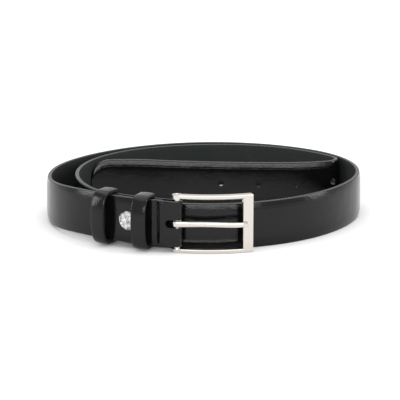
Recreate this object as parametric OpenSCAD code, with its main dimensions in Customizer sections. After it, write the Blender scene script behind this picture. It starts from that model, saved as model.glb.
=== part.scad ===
// Gentleman's dress belt, stored standing on its edge in a loose two-turn coil.
// The strap is a face leather, a padding strip and a lining. The face leather turns
// back round the buckle's bar and a press stud holds the turned end.
// X runs to the wearer's end of the coil, Y to its back, Z up from the surface.

/* [Strap] */
// Width of the strap
strap_w = 30; // [28:0.5:31]
// Thickness at the crown of the strap
strap_t = 3.4; // [3.3:0.05:3.6]
// Thickness of the lining
lining_t = 1.1; // [0.9:0.05:1.2]
// Thickness of the face leather where it is folded
fold_t = 1.3; // [1.1:0.05:1.4]
// Length of the turned-back end
tab_len = 44; // [40:1:48]
// Length of the rounded tip
tip_len = 13; // [10:1:18]
// Height of the strap above the surface at the buckle
lift = 4; // [2:0.5:4.5]

/* [Holes] */
// Number of punched holes
hole_count = 5; // [3:1:6]
// Spacing of the holes
hole_pitch = 26; // [23:0.5:27]
// Diameter of a hole
hole_d = 4.6; // [4:0.1:5.2]
// Distance of the first hole from the tip
first_hole = 91.5; // [86:0.5:98]

/* [Buckle] */
// Height of the buckle
buckle_h = 38; // [37:0.5:40]
// Length from the heel bar's axis to the far edge
buckle_l = 47.5; // [44:0.5:50]
// Depth of the buckle's arms
arm_depth = 5; // [4:0.25:6]
// Thickness of the buckle's arms
arm_t = 2.6; // [2.2:0.1:3]
// Width of the bar that the prong rests on
rest_w = 6.3; // [5.5:0.1:7]
// Diameter of the heel bar
bar_d = 4; // [3.6:0.1:4.2]
// Width of the prong
prong_w = 3.7; // [3:0.1:4.2]
// Width of the prong slot in the leather
slot_w = 5.2; // [4.8:0.1:6]

/* [Keepers] */
// Width of a keeper along the strap
keeper_w = 10; // [8:0.5:12]
// Distance that a keeper stands off the strap's face
keeper_gap = 6.4; // [5:0.2:7]
// Distance of the near keeper from the heel bar
near_keeper_at = 22; // [21:0.5:22.5]
// Distance of the loose keeper from the heel bar
loose_keeper_at = 50; // [48:0.5:56]

/* [Press stud] */
// Diameter of the press stud's cap
cap_d = 12.4; // [10:0.2:13]
// Distance of the press stud from the heel bar
stud_at = 32; // [32:0.5:34]

/* [Hidden] */
$fn = 48;

// The strap's mid line is a chain of tangent arcs, [radius, turn to the right], from the bar to the tip
arcs = [[140, 28], [77, 80], [120, 44], [112, 54], [74, 73], [108, 61], [90, 41], [86, 61],
        [80, 59], [118, 34], [98, 40], [60, 8], [9, 104], [80, 18], [440, 13], [80, -30]];
start_point = [-18, -91.5];
start_heading = 167;
lift_from = 62;
lift_to = 135;
ring_turn = 8;
first_ring_turn = 2;

half_t = strap_t / 2;
seam_n = lining_t - half_t;
edge_n = seam_n + 1.4;
bevel_w = 3.7;
bar_drop = 2;
fold_gap = 0.15;
fold_r = bar_d / 2 + fold_gap;
blend_from = 6;
blend_to = 16;
lining_from = 9;
padding_inset = 4.5;
padding_slope = 2.5;
padding_t = 1;
padding_gap = 0.03;
mid_z = strap_w / 2;
clearance = 0.35;

// Route
function right_of(h) = [sin(h), -cos(h)];
function arc_end(p, h, a) = p + a[0] * sign(a[1]) * (right_of(h) - right_of(h - a[1]));
function arc_len(a) = a[0] * abs(a[1]) * PI / 180;
knots = [for (i = 0, s = 0, p = start_point, h = start_heading; i < len(arcs);
              s = s + arc_len(arcs[i]), p = arc_end(p, h, arcs[i]), h = h - arcs[i][1], i = i + 1) [s, p, h]];
last_arc = len(arcs) - 1;
strap_end = knots[last_arc][0] + arc_len(arcs[last_arc]);
function arc_at(s) = max([for (i = [0:last_arc]) if (i == 0 || knots[i][0] <= s) i]);
function turn_at(s, i) = sign(arcs[i][1]) * (s - knots[i][0]) / arcs[i][0] * 180 / PI;
function point_at(s) = let (i = arc_at(s)) arc_end(knots[i][1], knots[i][2], [arcs[i][0], turn_at(s, i)]);
function heading_at(s) = let (i = arc_at(s)) knots[i][2] - turn_at(s, i);
function out_at(s) = -right_of(heading_at(s));
function smooth(t) = let (u = min(1, max(0, t))) u * u * (3 - 2 * u);
function lift_at(s) = lift * (1 - smooth((s - lift_from) / (lift_to - lift_from)));
function width_at(s) = let (u = max(0, (s - strap_end + tip_len) / tip_len)) sqrt(1 - 0.93 * u * u);

// Stations along the strap, closer together where it bends and at the tip
arc_stations = [for (i = [0:last_arc]) let (n = ceil(abs(arcs[i][1]) / (i == 0 ? first_ring_turn : ring_turn)),
                                            l = arc_len(arcs[i]))
                for (j = [0:n - 1]) knots[i][0] + l * j / n];
tip_stations = [for (j = [0:5]) strap_end - tip_len * (1 - sin(18 * j))];
blend_stations = [for (j = [1:4]) blend_to * j / 4];
function between(list, a, b) = [for (s = list) if (s > a + 0.4 && s < b - 0.4) s];
long_stations = between(arc_stations, blend_to, strap_end - tip_len);
function stations(a) = concat([a], between(blend_stations, a, blend_to + 1),
                              between(long_stations, max(a, blend_to), strap_end), tip_stations);

// A ring is the section's [out, height] points placed at a station
function ring(o, n, z0, section) = [for (q = section) [o[0] + n[0] * q[0], o[1] + n[1] * q[0], z0 + q[1]]];
function main_ring(s, section) = ring(point_at(s), out_at(s), lift_at(s), section);
function squeeze(section, k) = [for (q = section) [q[0], mid_z + (q[1] - mid_z) * k]];
function blend(a, b, t) = [for (i = [0:len(a) - 1]) a[i] * (1 - t) + b[i] * t];

module sweep(rings, cap = [[0, 1, 2], [0, 2, 3]]) {
    m = len(rings[0]);
    n = len(rings);
    sides = [for (r = [0:n - 2], i = [0:m - 1]) let (k = (i + 1) % m)
             each [[r * m + i, r * m + k, (r + 1) * m + k], [r * m + i, (r + 1) * m + k, (r + 1) * m + i]]];
    first = [for (c = cap) [c[2], c[1], c[0]]];
    last = [for (c = cap) [for (i = c) (n - 1) * m + i]];
    polyhedron([for (r = rings) each r], concat(sides, first, last), convexity = 12);
}

// Sections, each [out, height], going up the outer side and down the inner side
face_section = [[edge_n, 0], [half_t, bevel_w], [half_t, strap_w - bevel_w], [edge_n, strap_w],
                [seam_n, strap_w], [seam_n, strap_w - padding_inset],
                [seam_n + padding_t, strap_w - padding_inset - padding_slope],
                [seam_n + padding_t, padding_inset + padding_slope], [seam_n, padding_inset], [seam_n, 0]];
fold_section = [for (i = [0:len(face_section) - 1]) [i < 4 ? fold_r + fold_t : fold_r, face_section[i][1]]];
fold_on_face = [for (q = fold_section) [q[0] - bar_drop, q[1]]];
face_cap = [[0, 1, 9], [1, 8, 9], [1, 7, 8], [1, 2, 7], [2, 6, 7], [2, 5, 6], [2, 4, 5], [2, 3, 4]];
padding_low = seam_n + padding_gap;
padding_high = seam_n + padding_t - padding_gap;
padding_edge = padding_inset + 2 * padding_gap;
padding_section = [[padding_low, padding_edge], [padding_high, padding_edge + padding_slope],
                   [padding_high, strap_w - padding_edge - padding_slope], [padding_low, strap_w - padding_edge]];
lining_section = [[seam_n, 0], [seam_n, strap_w], [-half_t, strap_w], [-half_t, 0]];

bar_axis = start_point - bar_drop * out_at(0);
bar_z = lift + mid_z;

module placed(s, n = 0) {
    p = point_at(s) + n * out_at(s);
    translate([p[0], p[1], lift_at(s) + mid_z])
        rotate([0, 0, heading_at(s) + 180])
            children();
}

module across(s, d, from_n, to_n) {
    placed(s, to_n)
        rotate([-90, 0, 0])
            cylinder(h = to_n - from_n, d = d);
}

module strap_cuts() {
    for (i = [0:hole_count - 1])
        across(strap_end - first_hole - i * hole_pitch, hole_d, -4, 4);
    across(stud_at, 3.8, -7, 4);
}

module strap_face() {
    tab = [for (s = concat([tab_len], [for (j = [8:-1:1]) 4.8 * j]))
           ring(point_at(s) - bar_drop * out_at(s), -out_at(s), lift_at(s), fold_section)];
    turn = [for (a = [180:-15:15]) let (n = [[cos(a), -sin(a)], [sin(a), cos(a)]] * out_at(0))
            ring(bar_axis, n, lift, fold_section)];
    main = [for (s = stations(0)) let (t = smooth((s - blend_from) / (blend_to - blend_from)))
            main_ring(s, squeeze(blend(fold_on_face, face_section, t), width_at(s)))];
    color("#15151a")
        difference() {
            sweep(concat(tab, turn, main), face_cap);
            strap_cuts();
            prong_slot();
        }
}

module prong_slot() {
    translate([bar_axis[0], bar_axis[1], bar_z])
        rotate([0, 0, start_heading + 180])
            translate([-7, -7, -slot_w / 2])
                cube([14, 14, slot_w]);
}

module strap_padding() {
    color("#8a7f70")
        difference() {
            sweep([for (s = concat([blend_to], long_stations)) main_ring(s, padding_section)]);
            strap_cuts();
        }
}

module strap_lining() {
    color("#22262a")
        difference() {
            sweep([for (s = stations(lining_from)) main_ring(s, squeeze(lining_section, width_at(s)))]);
            strap_cuts();
        }
}

// The buckle lies on a circle seen from above, so its arms bow away from the strap
bow_r = 82;
buckle_turn = 2.5;
buckle_span = 2 * asin(buckle_l / 2 / bow_r);
rest_span = rest_w / bow_r * 180 / PI;
edge_break = 0.5;
lug_r = 3.2;
// The rest bar and the lugs are stepped back from the arms' faces
step = 0.06;

module at_bar() {
    translate([bar_axis[0], bar_axis[1], bar_z])
        rotate([0, 0, buckle_turn])
            children();
}

function chamfered(x0, x1, y0, y1, c) = [[x0 + c, y0], [x1 - c, y0], [x1, y0 + c], [x1, y1 - c],
                                         [x1 - c, y1], [x0 + c, y1], [x0, y1 - c], [x0, y0 + c]];

module bowed(from, span, points) {
    translate([buckle_l / 2, bow_r * cos(buckle_span / 2), 0])
        rotate([0, 0, -90 - buckle_span / 2 + from])
            rotate_extrude(angle = span, $fn = 180)
                polygon(points);
}

module buckle_frame() {
    color("#cfc6bd")
        at_bar()
            difference() {
                union() {
                    for (side = [0, 1])
                        mirror([0, 0, side])
                            bowed(0, buckle_span, chamfered(bow_r - arm_depth / 2, bow_r + arm_depth / 2,
                                                            buckle_h / 2 - arm_t, buckle_h / 2, edge_break));
                    bowed(buckle_span - rest_span, rest_span + step,
                          chamfered(bow_r - 0.8, bow_r + arm_depth / 2 - step, -buckle_h / 2 + step,
                                    buckle_h / 2 - step, edge_break));
                    for (side = [0, 1])
                        mirror([0, 0, side])
                            translate([0, 0, buckle_h / 2 - arm_t + step])
                                cylinder(h = arm_t - 2 * step, r = lug_r);
                }
                cylinder(h = buckle_h + 2, d = bar_d, center = true);
            }
}

module buckle_bar() {
    color("#b9b2aa")
        at_bar()
            cylinder(h = buckle_h - 0.4, d = bar_d, center = true);
}

// The prong's middle line from the loop to the tip: [distance along the buckle, distance in front of the bar]
prong_t = 2;
prong_bore = bar_d + 0.12;
prong_line = [[0, 3.1], [5, 3.3], [12, 3.4], [20, 4], [28, 5.3], [35, 6.1], [40, 5.9], [44.5, 4.9]];
function side_of(line, i, d) = let (a = line[max(0, i - 1)], b = line[min(len(line) - 1, i + 1)],
                                    v = (b - a) / norm(b - a)) line[i] + d * [-v[1], v[0]];
prong_outline = concat([for (i = [0:len(prong_line) - 1]) side_of(prong_line, i, prong_t / 2)],
                       [for (i = [len(prong_line) - 1:-1:0]) side_of(prong_line, i, -prong_t / 2)]);

module prong() {
    loop_r = prong_bore / 2 + 1.6;
    color("#cfc6bd")
        at_bar()
            difference() {
                union() {
                    cylinder(h = prong_w, r = loop_r, center = true);
                    linear_extrude(height = prong_w, center = true)
                        mirror([0, 1])
                            polygon(prong_outline);
                }
                cylinder(h = prong_w + 2, d = prong_bore, center = true);
            }
}

// Press stud: cap and socket on the strap, stud and post on the turned-back end
tab_outer = bar_drop + fold_r + fold_t;
stud_bore = 2.2;

module turned(s, points) {
    placed(s)
        rotate([90, 0, 0])
            rotate_extrude()
                polygon(points);
}

module snap_cap() {
    petals = 8;
    color("#c9c9cc") {
        turned(stud_at, [[0, half_t + 0.05], [cap_d / 2 - 0.5, half_t + 0.05], [cap_d / 2, half_t + 0.5],
                         [cap_d / 2, half_t + 0.9], [cap_d / 2 - 0.6, half_t + 1.4], [cap_d / 2 - 1.2, half_t + 1.4],
                         [cap_d / 2 - 1.5, half_t + 1.1], [0, half_t + 1.1]]);
        for (i = [0:petals - 1])
            placed(stud_at)
                rotate([90, 360 / petals * i, 0])
                    translate([2.7, 0, half_t + 1])
                        cylinder(h = 0.45, r = 0.85, $fn = 24);
        placed(stud_at)
            rotate([90, 0, 0])
                translate([0, 0, half_t + 1])
                    cylinder(h = 0.6, r = 1.1);
        placed(stud_at)
            rotate([90, 0, 0])
                translate([0, 0, -half_t - 1])
                    cylinder(h = strap_t + 1.1, r = 1.5);
    }
}

module snap_socket() {
    color("#a8a8a8")
        turned(stud_at, [[1.55, -half_t - 0.15], [4.6, -half_t - 0.15], [4.6, -half_t - 1.5], [3.4, -half_t - 1.5],
                         [3.4, -half_t - 0.6], [1.55, -half_t - 0.6]]);
}

module snap_stud() {
    color("#b0b0b0")
        turned(stud_at, [[1.3, -half_t - 1.1], [3.2, -half_t - 1.1], [3.2, -half_t - 1.9], [4.6, -half_t - 1.9],
                         [4.6, -bar_drop - fold_r + 0.15], [1.3, -bar_drop - fold_r + 0.15]]);
}

module snap_post() {
    color("#a8a8a8")
        turned(stud_at, [[0, -tab_outer - 0.7], [4.6, -tab_outer - 0.7], [4.6, -tab_outer - 0.2],
                         [1.2, -tab_outer - 0.2], [1.2, -half_t - 1.4], [0, -half_t - 1.4]]);
}

// A keeper is a band of face leather and lining bowed over the strap, closed by a staple at the back
keeper_ply = 0.95;
keeper_back = tab_outer + 0.7 + clearance;
keeper_half_h = mid_z + clearance + 0.3;

function keeper_front(z, grow) = let (t = min(1, abs(z) / (keeper_half_h + grow)))
                                 half_t + (keeper_gap + grow) * pow(1 - pow(t, 2.6), 1 / 2.2);
function keeper_outline(grow) = let (h = keeper_half_h + grow, b = keeper_back + grow, m = 28)
    concat([for (i = [0:m]) let (z = -h * cos(180 * i / m)) [z, -keeper_front(z, grow)]],
           [[h, b - 1.5], [h - 1.5, b], [-h + 1.5, b], [-h, b - 1.5]]);

module keeper_band(at, inner, outer) {
    placed(at)
        rotate([0, -90, 0])
            difference() {
                linear_extrude(height = keeper_w, center = true)
                    polygon(keeper_outline(outer));
                linear_extrude(height = keeper_w + 2, center = true)
                    polygon(keeper_outline(inner));
            }
}

module keeper_staple(at) {
    placed(at)
        rotate([0, -90, 0])
            translate([0, keeper_back + 2 * keeper_ply + 0.25, 0])
                cube([6, 0.4, 1.2], center = true);
}

module near_keeper_face() {
    color("#15151a")
        keeper_band(near_keeper_at, keeper_ply, 2 * keeper_ply);
}

module near_keeper_lining() {
    color("#22262a")
        keeper_band(near_keeper_at, 0, keeper_ply);
}

module near_keeper_staple() {
    color("#a8a8a8")
        keeper_staple(near_keeper_at);
}

module loose_keeper_face() {
    color("#15151a")
        keeper_band(loose_keeper_at, keeper_ply, 2 * keeper_ply);
}

module loose_keeper_lining() {
    color("#22262a")
        keeper_band(loose_keeper_at, 0, keeper_ply);
}

module loose_keeper_staple() {
    color("#a8a8a8")
        keeper_staple(loose_keeper_at);
}

strap_face();
strap_padding();
strap_lining();
buckle_frame();
buckle_bar();
prong();
snap_cap();
snap_socket();
snap_stud();
snap_post();
near_keeper_face();
near_keeper_lining();
near_keeper_staple();
loose_keeper_face();
loose_keeper_lining();
loose_keeper_staple();
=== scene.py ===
"""A gentleman's dress belt standing on its edge in a loose coil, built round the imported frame.

The belt's sizes are in millimetres, and make_mesh turns them into metres.
The camera, the lights and the floor are in metres.
"""
import math

import bmesh
import bpy
import numpy as np
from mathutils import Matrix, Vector


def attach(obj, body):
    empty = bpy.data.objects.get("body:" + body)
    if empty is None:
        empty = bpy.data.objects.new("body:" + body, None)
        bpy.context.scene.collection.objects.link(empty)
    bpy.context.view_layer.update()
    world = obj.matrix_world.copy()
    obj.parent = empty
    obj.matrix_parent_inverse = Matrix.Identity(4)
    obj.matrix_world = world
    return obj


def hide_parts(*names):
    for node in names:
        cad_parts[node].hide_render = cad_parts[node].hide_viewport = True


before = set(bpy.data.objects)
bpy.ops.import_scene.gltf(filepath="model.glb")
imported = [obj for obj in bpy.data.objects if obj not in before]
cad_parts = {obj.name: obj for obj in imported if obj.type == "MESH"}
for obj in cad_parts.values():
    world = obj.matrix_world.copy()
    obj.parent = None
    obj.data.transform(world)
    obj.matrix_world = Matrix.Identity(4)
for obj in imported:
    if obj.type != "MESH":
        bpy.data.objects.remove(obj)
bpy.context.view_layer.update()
MM = 0.001

# The strap's route is a chain of tangent arcs, (radius, turn to the right in degrees)
ARCS = [(140, 28), (77, 80), (120, 44), (112, 54), (74, 73), (108, 61), (90, 41), (86, 61),
        (80, 59), (118, 34), (98, 40), (60, 8), (9, 104), (80, 18), (440, 13), (80, -30)]
START = np.array([-18.0, -91.5])
START_HEADING = 167
LIFT = 4.0
LIFT_FROM, LIFT_TO = 62, 135

# The strap's section: n counts outward from its middle line, and z up from its lower edge
STRAP_W = 30.0
HALF_T = 1.7
SEAM_N, SEAM_Z = -0.6, 0.22
SEAM_GAP = 0.01
EDGE_N, EDGE_Z = 0.82, 0.42
BEVEL_N, BEVEL_W = 0.85, 3.7
BEVEL_RISE, BEVEL_POWER, BEVEL_STEPS = 0.74, 0.9, 8
TIP_LEN, TIP_NARROWING = 13, 0.93

# The leather's turn round the heel bar and its turned-back end
BAR_DROP = 2.0
FOLD_R, FOLD_T, FOLD_STEP = 2.15, 1.3, 7.5
TAB_LEN, TAB_FROM, TAB_STEPS = 44, 2, 22
BLEND_FROM, BLEND_TO = 6, 16
LINING_FROM = 9
CREASES = [(-0.75, 12.8, 1.3), (0.5, 9.6, 1.4), (-0.4, 6.6, 1.0)]
CREASE_FADE = 2.5

# The strap's sections follow each other by STATION_GAP or STATION_TURN, whichever is closer.
# Beside the bar they follow by FINE_GAP, as far as FINE_TO, and TIP_STEPS of them make the tip.
STATION_GAP, STATION_TURN = 2.4, 4
FINE_GAP, FINE_TO = 0.7, BLEND_TO + 6
TIP_STEPS, TIP_CLEAR = 16, 0.5

HOLE_COUNT, HOLE_PITCH, HOLE_D, FIRST_HOLE = 5, 26, 4.6, 91.5
SLOT_W, SLOT_REACH, SLOT_PAST, SLOT_DEPTH = 5.2, 7, 3, 8
STUD_AT, STUD_HOLE = 32, 3.8

KEEPER_AT = {"near": 22, "loose": 50}
KEEPER_W = 10
KEEPER_PLY = 0.95
KEEPER_GAP = 6.4
CLEARANCE, KEEPER_EASE = 0.35, 0.7
KEEPER_BACK = BAR_DROP + FOLD_R + FOLD_T + KEEPER_EASE + CLEARANCE
KEEPER_HALF_H = STRAP_W / 2 + 0.3 + CLEARANCE
KEEPER_CORNER, CORNER_POINTS = 1.5, 7
BOW_STEPS, BOW_FLATNESS, BOW_ROUNDNESS = 56, 2.6, 2.2

BUCKLE_HEADING = 2.5
PRONG_LOOP_R = 2.8
PRONG_SIDES, PRONG_SQUARENESS = 20, 0.75

# Edges between faces that meet at more than this many degrees stay sharp
STRAP_SHARP, SMALL_SHARP, CUTTER_SHARP = 50, 60, 40
# A face of the strap is painted edge where its normal points this far up or down
EDGE_NORMAL = 0.55


def right_of(heading):
    h = math.radians(heading)
    return np.array([math.sin(h), -math.cos(h)])


def ahead_of(heading):
    h = math.radians(heading)
    return np.array([math.cos(h), math.sin(h)])


def knot_list():
    """Where each arc starts, as (s, point, heading), and the strap's length."""
    knots, s, point, heading = [], 0.0, START, START_HEADING
    for radius, turn in ARCS:
        knots.append((s, point, heading))
        side = radius * math.copysign(1, turn)
        point = point + side * (right_of(heading) - right_of(heading - turn))
        s += radius * math.radians(abs(turn))
        heading -= turn
    return knots, s


KNOTS, STRAP_END = knot_list()


def place(s):
    """The point on the strap's middle line and the heading there, s along from the heel bar."""
    i = max(j for j in range(len(KNOTS)) if j == 0 or KNOTS[j][0] <= s)
    from_s, point, heading = KNOTS[i]
    radius, turn = ARCS[i]
    side = radius * math.copysign(1, turn)
    turned = math.degrees((s - from_s) / side)
    return point + side * (right_of(heading) - right_of(heading - turned)), heading - turned


def bar_axis():
    return START + BAR_DROP * right_of(START_HEADING)


def smooth(t):
    u = min(1.0, max(0.0, t))
    return u * u * (3 - 2 * u)


def lift_at(s):
    """How high the strap's lower edge stands: lifted at the buckle end, and down on the floor further on."""
    return LIFT * (1 - smooth((s - LIFT_FROM) / (LIFT_TO - LIFT_FROM)))


def middle_height(s):
    return lift_at(s) + STRAP_W / 2


def narrowed(section, s):
    """The section at s, brought in toward the strap's middle near the tip."""
    middle = STRAP_W / 2
    u = max(0.0, (s - STRAP_END + TIP_LEN) / TIP_LEN)
    k = math.sqrt(1 - TIP_NARROWING * u * u)
    return [(n, middle + (z - middle) * k) for n, z in section]


def station_list(start):
    """Stations along the strap, close together beside the bar, in sharp turns and at the tip."""
    stations = []
    for (from_s, _, _), (radius, turn) in zip(KNOTS, ARCS):
        length = radius * math.radians(abs(turn))
        count = max(int(length / STATION_GAP), int(abs(turn) / STATION_TURN))
        stations += [from_s + length * j / count for j in range(count)]
    fine = list(np.arange(start, FINE_TO, FINE_GAP))
    body = [s for s in stations if FINE_TO < s < STRAP_END - TIP_LEN - TIP_CLEAR]
    tip = [STRAP_END - TIP_LEN * (1 - math.sin(math.pi / 2 * j / TIP_STEPS)) for j in range(TIP_STEPS + 1)]
    return fine + body + tip


def point_at(origin, along, out, w, n, z):
    """The point that lies w along and n out from origin, at height z."""
    x, y = origin + along * w + out * n
    return x, y, z


def ring(origin, out, z0, section):
    return [(origin[0] + out[0] * n, origin[1] + out[1] * n, z0 + z) for n, z in section]


def strap_ring(s, section):
    origin, heading = place(s)
    return ring(origin, -right_of(heading), lift_at(s), section)


def make_mesh(name, points, faces):
    mesh = bpy.data.meshes.new(name)
    mesh.from_pydata([tuple(MM * c for c in p) for p in points], [], faces)
    mesh.validate()
    mesh.update()
    mesh.polygons.foreach_set("use_smooth", [True] * len(mesh.polygons))
    made = bpy.data.objects.new(name, mesh)
    bpy.context.scene.collection.objects.link(made)
    return made


def outward(piece):
    """Turns every face's normal to the outside."""
    sides = bmesh.new()
    sides.from_mesh(piece.data)
    bmesh.ops.recalc_face_normals(sides, faces=sides.faces)
    sides.to_mesh(piece.data)
    sides.free()


def sharpen(piece, angle):
    piece.data.set_sharp_from_angle(angle=math.radians(angle))


def sweep(name, rings, sharp, closed=False):
    """A skin over rings of equal length, capped at both ends unless it closes on itself."""
    m, n = len(rings[0]), len(rings)
    points = [p for r in rings for p in r]
    faces = []
    for r in range(n if closed else n - 1):
        a, b = r * m, ((r + 1) % n) * m
        faces += [(a + i, a + (i + 1) % m, b + (i + 1) % m, b + i) for i in range(m)]
    if not closed:
        faces += [tuple(reversed(range(m))), tuple((n - 1) * m + i for i in range(m))]
    made = make_mesh(name, points, faces)
    outward(made)
    sharpen(made, sharp)
    return made


def cut(piece, cutters, sharp):
    """Takes the cutters out of the piece and removes them."""
    bpy.context.view_layer.update()
    for cutter in cutters:
        step = piece.modifiers.new("cut", "BOOLEAN")
        step.operation = "DIFFERENCE"
        step.solver = "EXACT"
        step.object = cutter
    graph = bpy.context.evaluated_depsgraph_get()
    result = bpy.data.meshes.new_from_object(piece.evaluated_get(graph))
    piece.modifiers.clear()
    piece.data = result
    sharpen(piece, sharp)
    for cutter in cutters:
        bpy.data.objects.remove(cutter)


def punch(s, diameter, depth=5.0, sides=40):
    """A round cutter through the strap at s."""
    origin, heading = place(s)
    along, out = -ahead_of(heading), -right_of(heading)
    radius = diameter / 2
    turns = [2 * math.pi * j / sides for j in range(sides)]
    rings = [[point_at(origin, along, out, radius * math.cos(a), n, middle_height(s) + radius * math.sin(a))
              for a in turns] for n in (-depth, depth)]
    return sweep("punch", rings, CUTTER_SHARP)


def hole_punches():
    return [punch(STRAP_END - FIRST_HOLE - i * HOLE_PITCH, HOLE_D) for i in range(HOLE_COUNT)]


def slot_cutter():
    """A cutter that opens the fold for the prong: square beyond the bar and rounded toward the strap."""
    back = START_HEADING + 180
    half = SLOT_W / 2
    outline = [(SLOT_REACH + SLOT_PAST, -half), (SLOT_REACH + SLOT_PAST, half)]
    for a in np.radians(range(0, 181, 15)):
        outline.append((-SLOT_REACH + half - half * math.sin(a), half * math.cos(a)))
    rings = [[point_at(bar_axis(), ahead_of(back), -right_of(back), u, depth, LIFT + STRAP_W / 2 + v)
              for u, v in outline] for depth in (-SLOT_DEPTH, SLOT_DEPTH)]
    return sweep("slot", rings, CUTTER_SHARP)


def face_profile():
    """The outer side of the padded strap: a rounded edge, a slightly full bevel and a crowned middle."""
    edge = [(SEAM_N, SEAM_Z), (SEAM_N + 0.3, 0.05), (0.15, 0.0), (0.55, 0.1), (EDGE_N, EDGE_Z)]
    bevel = []
    for j in range(1, BEVEL_STEPS + 1):
        t = j / BEVEL_STEPS
        bevel.append((BEVEL_N + BEVEL_RISE * t ** BEVEL_POWER, EDGE_Z + (BEVEL_W - EDGE_Z) * t))
    foot = [(HALF_T - 0.16, BEVEL_W + 0.25), (HALF_T - 0.07, BEVEL_W + 0.55), (HALF_T, BEVEL_W + 1.1)]
    crown = [(HALF_T + 0.06, 8.0), (HALF_T + 0.1, 12.0)]
    return edge + bevel + foot + crown


def fold_profile():
    """The outer side of the plain folded leather, flat with rounded edges."""
    top = FOLD_R + FOLD_T - BAR_DROP
    points = []
    for n, z in face_profile():
        drop = FOLD_T * (EDGE_N - n) / (EDGE_N - SEAM_N) if z <= EDGE_Z else 0.0
        points.append((top - drop, z))
    return points


def fold_crease(s):
    """How far the leather dips and rises beside the bar: each crease has a height, a place and a width."""
    return sum(height * math.exp(-((s - at) / width) ** 2) for height, at, width in CREASES)


def face_section(s):
    """The face leather's section at s, changing from the plain fold to the padded strap."""
    t = smooth((s - BLEND_FROM) / (BLEND_TO - BLEND_FROM))
    crease = fold_crease(s)
    lower = []
    for (fold_n, _), (face_n, z) in zip(fold_profile(), face_profile()):
        lower.append(((1 - t) * fold_n + t * face_n + crease * min(1.0, z / CREASE_FADE), z))
    upper = [(n, STRAP_W - z) for n, z in reversed(lower)]
    back = (FOLD_R - BAR_DROP) * (1 - t) + SEAM_N * t
    inner = [(back, STRAP_W - SEAM_Z), (back, STRAP_W / 2), (back, SEAM_Z)]
    return narrowed(lower + upper + inner, s)


def strap_face():
    """The face leather in one sweep: its turned-back end, its turn round the heel bar, then the strap."""
    flat = [(n + BAR_DROP, z) for n, z in face_section(0)]
    rings = []
    for s in np.linspace(TAB_LEN, TAB_FROM, TAB_STEPS):
        origin, heading = place(s)
        out = -right_of(heading)
        rings.append(ring(origin - BAR_DROP * out, -out, lift_at(s), flat))
    front = -right_of(START_HEADING)
    for a in np.radians(np.arange(180, 0, -FOLD_STEP)):
        c, d = math.cos(a), math.sin(a)
        rings.append(ring(bar_axis(), (c * front[0] - d * front[1], d * front[0] + c * front[1]), LIFT, flat))
    rings += [strap_ring(s, face_section(s)) for s in station_list(0.0)]
    made = sweep("strap_face_leather", rings, STRAP_SHARP)
    cut(made, hole_punches() + [slot_cutter()], STRAP_SHARP)
    return made


def strap_lining():
    """The lining leather, from just past the bar to the tip, with a hole for the press stud's barrel."""
    lower = [(-HALF_T, 4), (-HALF_T, 0.5), (-HALF_T + 0.12, 0.2), (-HALF_T + 0.4, 0.06),
             (SEAM_N - 0.15, 0.1), (SEAM_N - SEAM_GAP, SEAM_Z)]
    upper = [(n, STRAP_W - z) for n, z in reversed(lower)]
    section = [(-HALF_T, STRAP_W / 2)] + lower + upper
    rings = [strap_ring(s, narrowed(section, s)) for s in station_list(LINING_FROM)]
    made = sweep("strap_lining_leather", rings, STRAP_SHARP)
    cut(made, hole_punches() + [punch(STUD_AT, STUD_HOLE)], STRAP_SHARP)
    return made


def keeper_outline(grow):
    """The band's line round the strap, grow out from its inner face, as (height, out) points."""
    half = KEEPER_HALF_H + grow
    back = KEEPER_BACK + grow
    corner = KEEPER_CORNER + grow / 2
    line = []
    for i in range(BOW_STEPS + 1):
        z = -half * math.cos(math.pi * i / BOW_STEPS)
        t = min(1.0, abs(z) / half)
        line.append((z, HALF_T + (KEEPER_GAP + grow) * (1 - t ** BOW_FLATNESS) ** (1 / BOW_ROUNDNESS)))
    for side in (1, -1):
        arc = [(side * (half - corner + corner * math.cos(a)), -(back - corner) - corner * math.sin(a))
               for a in np.linspace(0, math.pi / 2, CORNER_POINTS)]
        line += arc[::side]
    return line


def keeper_band(name, at, section):
    """A closed band round the strap, whose section is (along the strap, grow) points."""
    origin, heading = place(at)
    along, out = ahead_of(heading), -right_of(heading)
    outlines = [keeper_outline(grow) for _, grow in section]
    rings = [[point_at(origin, along, out, w, n, middle_height(at) + z)
              for (w, _), (z, n) in zip(section, points)] for points in zip(*outlines)]
    return sweep(name, rings, SMALL_SHARP, closed=True)


def keeper_sections():
    """The face's domed section and the lining's flat one, as (along the strap, grow) points."""
    half = KEEPER_W / 2
    top = 2 * KEEPER_PLY
    shoulder, bulge, lap = top - 0.75, half + 0.02, KEEPER_PLY + 0.02
    dome_foot, dome_rise, dome_spread = top - 0.35, 0.5, 0.94
    crown = [(half * math.sin(a) * dome_spread, dome_foot + dome_rise * math.cos(a) ** 0.8)
             for a in np.radians(range(-80, 81, 10))]
    face = [(-half, lap), (-bulge, shoulder)] + crown + [(bulge, shoulder), (half, lap)]
    edge, bevel = half - 0.15, 0.25
    lining = [(-edge, bevel), (-edge + bevel, 0.0), (0.0, 0.0), (edge - bevel, 0.0), (edge, bevel),
              (edge, KEEPER_PLY), (0.0, KEEPER_PLY), (-edge, KEEPER_PLY)]
    return face, lining


def curve_through(knots, steps):
    """A smooth curve through every knot, with this many points to each stretch."""
    line = []
    for j in range(len(knots) - 1):
        a, b, c, d = (knots[min(max(k, 0), len(knots) - 1)] for k in (j - 1, j, j + 1, j + 2))
        for t in np.arange(steps) / steps:
            line.append(tuple(0.5 * (2 * b + (c - a) * t + (2 * a - 5 * b + 4 * c - d) * t ** 2
                                     + (3 * b - a - 3 * c + d) * t ** 3)))
    return line + [tuple(knots[-1])]


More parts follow.
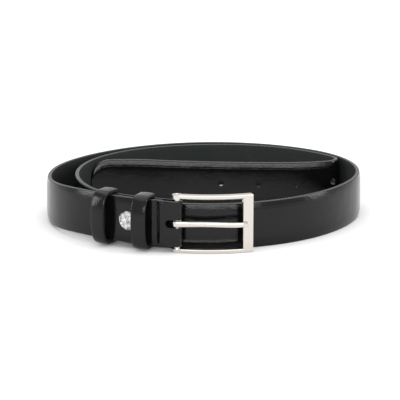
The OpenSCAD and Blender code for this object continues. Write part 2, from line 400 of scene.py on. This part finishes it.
def prong_line():
    """The prong's middle line, as (along, in front, width, thickness) points.

    It goes round the heel bar and then in a shallow S to the far bar.
    """
    r = PRONG_LOOP_R
    loop = [(-r * math.sin(a), r * math.cos(a), 3.7, 1.35) for a in np.radians(np.arange(235, 20, -15))]
    knots = np.array([(0, r, 3.7, 1.4), (3, 3.0, 3.6, 1.7), (8, 3.35, 3.5, 2.2), (14, 3.5, 3.45, 2.4),
                      (20, 4.0, 3.4, 2.4), (28, 5.3, 3.35, 2.3), (35, 6.15, 3.3, 2.2), (40, 5.95, 3.2, 2.0),
                      (43.5, 5.1, 2.9, 1.7), (45, 4.75, 2.2, 1.2), (45.5, 4.65, 1.2, 0.7)])
    return loop + curve_through(knots, 4)


def squared(wave):
    """A sine or cosine pushed outward, so that a round section gets flatter sides."""
    return math.copysign(abs(wave) ** PRONG_SQUARENESS, wave)


def prong():
    """The prong, with its rounded section kept square to its middle line."""
    along, forward = ahead_of(BUCKLE_HEADING), right_of(BUCKLE_HEADING)
    line = np.array(prong_line())
    rings = []
    for j, (x, front, width, thick) in enumerate(line):
        step = line[min(j + 1, len(line) - 1), :2] - line[max(j - 1, 0), :2]
        step = step / np.linalg.norm(step)
        section = []
        for a in np.linspace(0, 2 * math.pi, PRONG_SIDES, endpoint=False):
            u, v = thick / 2 * squared(math.cos(a)), width / 2 * squared(math.sin(a))
            section.append(point_at(bar_axis(), along, forward, x - step[1] * u, front + step[0] * u,
                                    LIFT + STRAP_W / 2 + v))
        rings.append(section)
    return sweep("prong_tongue", rings, SMALL_SHARP)


class Value:
    """A shader socket that can be used in sums."""

    def __init__(self, finish, socket):
        self.finish, self.socket = finish, socket

    def sum(self, operation, first, second):
        return self.finish.node("ShaderNodeMath", {"operation": operation}, {0: first, 1: second})

    def __add__(self, other):
        return self.sum("ADD", self, other)

    __radd__ = __add__

    def __sub__(self, other):
        return self.sum("SUBTRACT", self, other)

    def __rsub__(self, other):
        return self.sum("SUBTRACT", other, self)

    def __mul__(self, other):
        return self.sum("MULTIPLY", self, other)

    __rmul__ = __mul__


class Finish:
    """A material made of nodes."""

    def __init__(self, name):
        self.material = bpy.data.materials.new(name)
        self.material.use_nodes = True
        self.tree = self.material.node_tree
        self.tree.nodes.clear()

    def node(self, kind, settings=None, sockets=None, output=0):
        made = self.tree.nodes.new(kind)
        for key, value in (settings or {}).items():
            if key == "stops":
                ramp = made.color_ramp.elements
                while len(ramp) < len(value):
                    ramp.new(0.5)
                for stop, (position, colour) in zip(ramp, value):
                    stop.position = position
                    stop.color = colour
            else:
                setattr(made, key, value)
        for key, value in (sockets or {}).items():
            if isinstance(value, Value):
                self.tree.links.new(value.socket, made.inputs[key])
            else:
                made.inputs[key].default_value = value
        return Value(self, made.outputs[output])

    def spot(self):
        return self.node("ShaderNodeTexCoord", output="Object")

    def noise(self, scale, detail=3.0, rough=0.5, at=None):
        return self.node("ShaderNodeTexNoise", {}, {"Vector": at or self.spot(), "Scale": scale,
                                                    "Detail": detail, "Roughness": rough}, "Fac")

    def tint(self, mask, first, second):
        return self.node("ShaderNodeValToRGB", {"stops": [(0.0, (*first, 1)), (1.0, (*second, 1))]},
                         {"Fac": mask}, "Color")

    def bump(self, height, strength, distance, under=None):
        sockets = {"Height": height, "Strength": strength, "Distance": distance}
        if under:
            sockets["Normal"] = under
        return self.node("ShaderNodeBump", {}, sockets)

    def shade(self, **sockets):
        """The finished material, whose sockets are named with underscores for spaces."""
        surface = self.node("ShaderNodeBsdfPrincipled", {},
                            {key.replace("_", " "): value for key, value in sockets.items()})
        end = self.tree.nodes.new("ShaderNodeOutputMaterial")
        self.tree.links.new(surface.socket, end.inputs["Surface"])
        return self.material


def polished_leather():
    """Box-calf face leather: black, glazed, with fine pores and soft unevenness."""
    f = Finish("polished_black_leather")
    pores = f.node("ShaderNodeTexVoronoi", {"feature": "F1"}, {"Vector": f.spot(), "Scale": 1500.0},
                   "Distance")
    wave = f.noise(95.0, 2.0, 0.45)
    fine = f.noise(620.0, 4.0, 0.6)
    uneven = f.bump(wave, 0.16, 0.0012)
    grained = f.bump(pores * 0.5 + fine, 0.24, 0.00025, uneven)
    return f.shade(Base_Color=f.tint(wave, (0.0015, 0.0015, 0.0018), (0.004, 0.004, 0.0045)), IOR=1.34,
                   Roughness=fine * 0.14 + 0.05, Normal=grained)


def matt_lining():
    """Lining leather: dark, dry and close-grained."""
    f = Finish("matt_black_lining")
    grain = f.noise(900.0, 5.0, 0.65)
    patch = f.noise(70.0, 3.0)
    colour = f.tint(grain * 0.6 + patch * 0.4, (0.0055, 0.0075, 0.0075), (0.013, 0.0155, 0.0155))
    return f.shade(Base_Color=colour, IOR=1.35, Roughness=0.86 - patch * 0.2,
                   Normal=f.bump(grain, 0.35, 0.0003))


def edge_paint():
    """The dark lacquer on the strap's cut edges."""
    f = Finish("painted_edge")
    ripple = f.noise(420.0, 3.0)
    return f.shade(Base_Color=f.tint(ripple, (0.012, 0.012, 0.013), (0.024, 0.024, 0.026)),
                   Roughness=ripple * 0.2 + 0.16, Normal=f.bump(ripple, 0.25, 0.0002))


def satin_nickel():
    """The buckle's warm satin plating, with a fine brushed grain."""
    f = Finish("satin_nickel")
    along = f.node("ShaderNodeMapping", {}, {"Vector": f.spot(), "Scale": (1.0, 1.0, 12.0)})
    brushed = f.noise(900.0, 3.0, 0.5, along)
    return f.shade(Base_Color=f.tint(brushed, (0.55, 0.515, 0.48), (0.65, 0.61, 0.57)), Metallic=1.0,
                   Roughness=brushed * 0.12 + 0.09, Normal=f.bump(brushed, 0.10, 0.0001))


def polished_stud():
    """The press stud's bright plating, which the keepers' staples share, with dark spots of painted shade in
    its colour.
    """
    f = Finish("bright_stud_plating")
    # The dark patches this noise makes in the base colour are painted shade
    painted_shade_spots = f.noise(480.0, 2.0)
    return f.shade(Base_Color=f.tint(painted_shade_spots * 2.2 - 0.6, (0.16, 0.16, 0.165), (0.74, 0.74, 0.75)), Metallic=1.0,
                   Roughness=painted_shade_spots * 0.15 + 0.12, Normal=f.bump(painted_shade_spots, 0.3, 0.0004))


def pale_floor():
    f = Finish("pale_floor")
    speck = f.noise(3.0, 2.0)
    return f.shade(Base_Color=f.tint(speck, (0.86, 0.86, 0.86), (0.88, 0.88, 0.88)), Roughness=0.9)


FACE, LINING, EDGE = polished_leather(), matt_lining(), edge_paint()
NICKEL, BRIGHT = satin_nickel(), polished_stud()


def finish_piece(piece, material, slot, body, *nodes):
    """Gives a piece its material, its body and the nodes it stands for. The slot argument is not used."""
    piece.data.materials.clear()
    piece.data.materials.append(material)
    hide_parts(*nodes)
    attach(piece, body)


def paint_edges(piece):
    """Paints the faces of a strap piece that point up or down."""
    piece.data.materials.append(EDGE)
    for side in piece.data.polygons:
        side.material_index = int(abs(side.normal.z) > EDGE_NORMAL)


face, lining = strap_face(), strap_lining()
finish_piece(face, FACE, "face_leather", "strap", "strap_face", "strap_padding")
finish_piece(lining, LINING, "lining_leather", "strap", "strap_lining")
paint_edges(face)
paint_edges(lining)

face_shape, lining_shape = keeper_sections()
for which, at in KEEPER_AT.items():
    body = which + "_keeper"
    outer = keeper_band(body + "_outer", at, face_shape)
    inner = keeper_band(body + "_inner", at, lining_shape)
    finish_piece(outer, FACE, "face_leather", body, body + "_face")
    finish_piece(inner, LINING, "lining_leather", body, body + "_lining")

finish_piece(prong(), NICKEL, "buckle_metal", "prong", "prong")

# The metal pieces that are shown as they come from the frame
METAL = {NICKEL: ["buckle_frame", "buckle_bar"],
         BRIGHT: ["snap_cap", "snap_socket", "snap_stud", "snap_post",
                  "near_keeper_staple", "loose_keeper_staple"]}
for metal, names in METAL.items():
    for name in names:
        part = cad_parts[name]
        part.data.materials.clear()
        part.data.materials.append(metal)

# Camera, lights and floor
camera = bpy.data.objects.new("camera", bpy.data.cameras.new("camera"))
bpy.context.scene.collection.objects.link(camera)
camera.data.sensor_width = 36
camera.data.lens = 175.05
camera.data.clip_end = 20
camera.location = (-0.003, -1.2795, 0.342)
camera.rotation_euler = (math.radians(75.5), 0, 0)
bpy.context.scene.camera = camera


def soft_light(name, at, size, energy):
    """An area light that faces the belt, size wide and high."""
    lamp = bpy.data.lights.new(name, "AREA")
    lamp.shape = "RECTANGLE"
    lamp.size, lamp.size_y = size
    lamp.energy = energy
    made = bpy.data.objects.new(name, lamp)
    made.location = at
    made.rotation_euler = (-Vector(at)).to_track_quat("-Z", "Y").to_euler()
    bpy.context.scene.collection.objects.link(made)


soft_light("overhead", (0.0, 0.25, 1.6), (2.0, 2.0), 15)
soft_light("front_softbox", (0.1, -1.9, 0.66), (2.6, 0.6), 26)
soft_light("left_side", (-1.7, -0.3, 0.6), (0.5, 1.0), 9)
soft_light("right_side", (1.7, -0.1, 0.6), (0.5, 1.0), 9)

world = bpy.data.worlds.new("studio")
world.use_nodes = True
world.node_tree.nodes["Background"].inputs["Color"].default_value = (1, 1, 1, 1)
world.node_tree.nodes["Background"].inputs["Strength"].default_value = 0.85
bpy.context.scene.world = world
bpy.context.scene.view_settings.view_transform = "Standard"

half_side = 6.0
corners = [(x * half_side, y * half_side, 0) for x, y in ((-1, -1), (1, -1), (1, 1), (-1, 1))]
floor_mesh = bpy.data.meshes.new("floor")
floor_mesh.from_pydata(corners, [], [(0, 1, 2, 3)])
floor = bpy.data.objects.new("floor", floor_mesh)
floor_mesh.materials.append(pale_floor())
bpy.context.scene.collection.objects.link(floor)
